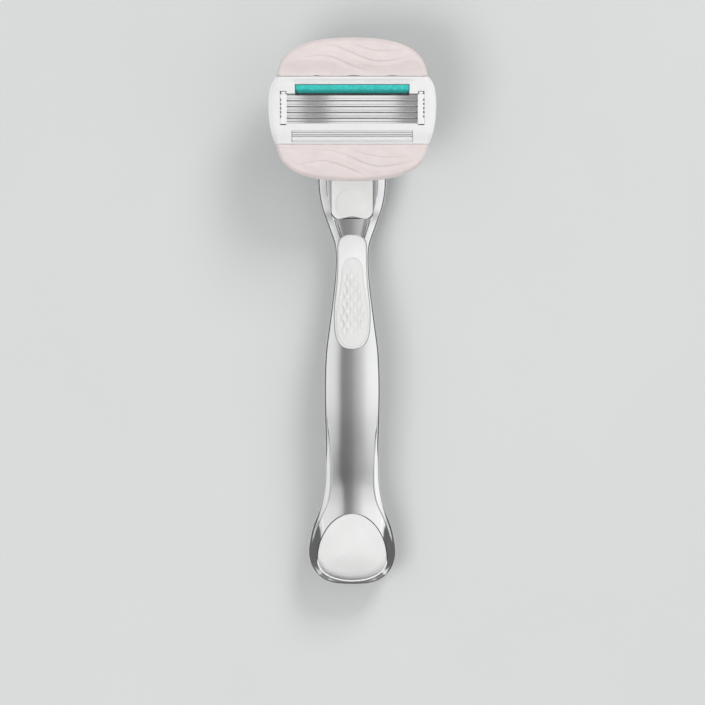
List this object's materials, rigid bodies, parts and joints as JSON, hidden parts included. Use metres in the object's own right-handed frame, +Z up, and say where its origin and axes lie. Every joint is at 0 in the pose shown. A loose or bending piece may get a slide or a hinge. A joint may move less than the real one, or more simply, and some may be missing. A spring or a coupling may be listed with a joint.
{
  "type": "cartridge razor",
  "caption": "Wet-shaving razor with a chromed, waisted handle, a soft grip, a release button and a pivoting multi-blade cartridge between two moisture bars.",
  "frame": {"origin": "on the table under the middle of the razor, which lies on its back", "axes": "+Y along the razor from the pommel to the head; +Z up, the side that shaves; +X to the right seen from above with the head away"},
  "size_m": [0.046, 0.1494, 0.0244],
  "materials": {
    "chrome": "bright satin chrome plating over die-cast metal",
    "frame_plastic": "moulded plastic, fine matt",
    "grip_gloss": "glossy moulded plastic",
    "grip_soft": "soft-touch elastomer with raised facets",
    "cap_plastic": "glossy moulded plastic",
    "spring_steel": "drawn spring wire",
    "button_plastic": "semi-gloss moulded plastic",
    "plunger_plastic": "moulded plastic",
    "connector_plastic": "moulded plastic",
    "housing_plastic": "semi-gloss moulded plastic",
    "guard_rubber": "soft finned elastomer",
    "lube_strip": "compressed lubricant, slightly mottled",
    "clip_metal": "soft rolled metal, pale",
    "wing_plastic": "moulded plastic",
    "moisture_bar": "solid soap bar, satin, with flowing grooves",
    "blade_steel": "ground and honed steel",
    "support_steel": "bent steel strip"
  },
  "bodies": {
    "handle": {"handle_body": "chrome", "docking_frame": "frame_plastic", "grip_bezel": "grip_gloss", "grip_pad": "grip_soft", "pommel_cap": "cap_plastic", "button_spring": "spring_steel", "plunger_spring": "spring_steel"},
    "button": {"release_button": "button_plastic"},
    "plunger": {"plunger": "plunger_plastic"},
    "connector": {"connector": "connector_plastic"},
    "head": {"back_frame": "frame_plastic", "housing": "housing_plastic", "guard": "guard_rubber", "lubricating_strip": "lube_strip", "clip_left": "clip_metal", "clip_right": "clip_metal"},
    "upper_wing": {"upper_wing": "wing_plastic", "upper_moisture_bar": "moisture_bar"},
    "lower_wing": {"lower_wing": "wing_plastic", "lower_moisture_bar": "moisture_bar"},
    "blade_1": {"blade_1": "blade_steel", "blade_support_1": "support_steel"},
    "blade_2": {"blade_2": "blade_steel", "blade_support_2": "support_steel"},
    "blade_3": {"blade_3": "blade_steel", "blade_support_3": "support_steel"},
    "blade_4": {"blade_4": "blade_steel", "blade_support_4": "support_steel"},
    "blade_5": {"blade_5": "blade_steel", "blade_support_5": "support_steel"}
  },
  "joints": [
    {"name": "cartridge_release", "type": "slide", "parent": "handle", "child": "connector", "axis": [0, 0.9613, 0.2756], "range_m": [0, 0.01]},
    {"name": "head_pivot", "type": "hinge", "parent": "connector", "child": "head", "pos_m": [0, 0.049, 0.014], "axis": [1, 0, 0], "range_deg": [-35, 0], "stiffness_Nm_per_rad": 0.01, "springref_deg": 22.92},
    {"name": "plunger_slide", "type": "slide", "parent": "handle", "child": "plunger", "axis": [0, 0.9613, 0.2756], "range_m": [-0.0025, 0], "deforming": ["plunger_spring"]},
    {"name": "button_slide", "type": "slide", "parent": "handle", "child": "button", "axis": [0, 0.9613, 0.2756], "range_m": [0, 0.003], "stiffness_N_per_m": 400, "springref_m": -0.001, "deforming": ["button_spring"]},
    {"name": "upper_wing_flex", "type": "hinge", "parent": "head", "child": "upper_wing", "pos_m": [0, 0.0653, 0.0185], "axis": [-1, 0, 0], "range_deg": [0, 8], "stiffness_Nm_per_rad": 0.02, "springref_deg": -2.86},
    {"name": "lower_wing_flex", "type": "hinge", "parent": "head", "child": "lower_wing", "pos_m": [0, 0.0444, 0.0185], "axis": [1, 0, 0], "range_deg": [0, 6], "stiffness_Nm_per_rad": 0.02, "springref_deg": -2.86},
    {"name": "blade_1_give", "type": "slide", "parent": "head", "child": "blade_1", "axis": [0, 0, 1], "range_m": [-0.00025, 0], "stiffness_N_per_m": 400, "springref_m": 0.0005},
    {"name": "blade_2_give", "type": "slide", "parent": "head", "child": "blade_2", "axis": [0, 0, 1], "range_m": [-0.00025, 0], "stiffness_N_per_m": 400, "springref_m": 0.0005},
    {"name": "blade_3_give", "type": "slide", "parent": "head", "child": "blade_3", "axis": [0, 0, 1], "range_m": [-0.00025, 0], "stiffness_N_per_m": 400, "springref_m": 0.0005},
    {"name": "blade_4_give", "type": "slide", "parent": "head", "child": "blade_4", "axis": [0, 0, 1], "range_m": [-0.00025, 0], "stiffness_N_per_m": 400, "springref_m": 0.0005},
    {"name": "blade_5_give", "type": "slide", "parent": "head", "child": "blade_5", "axis": [0, 0, 1], "range_m": [-0.00025, 0], "stiffness_N_per_m": 400, "springref_m": 0.0005}
  ],
  "couplings": [
    {"joint": "plunger_slide", "follows": "head_pivot", "m_per_rad": 0.004}
  ]
}
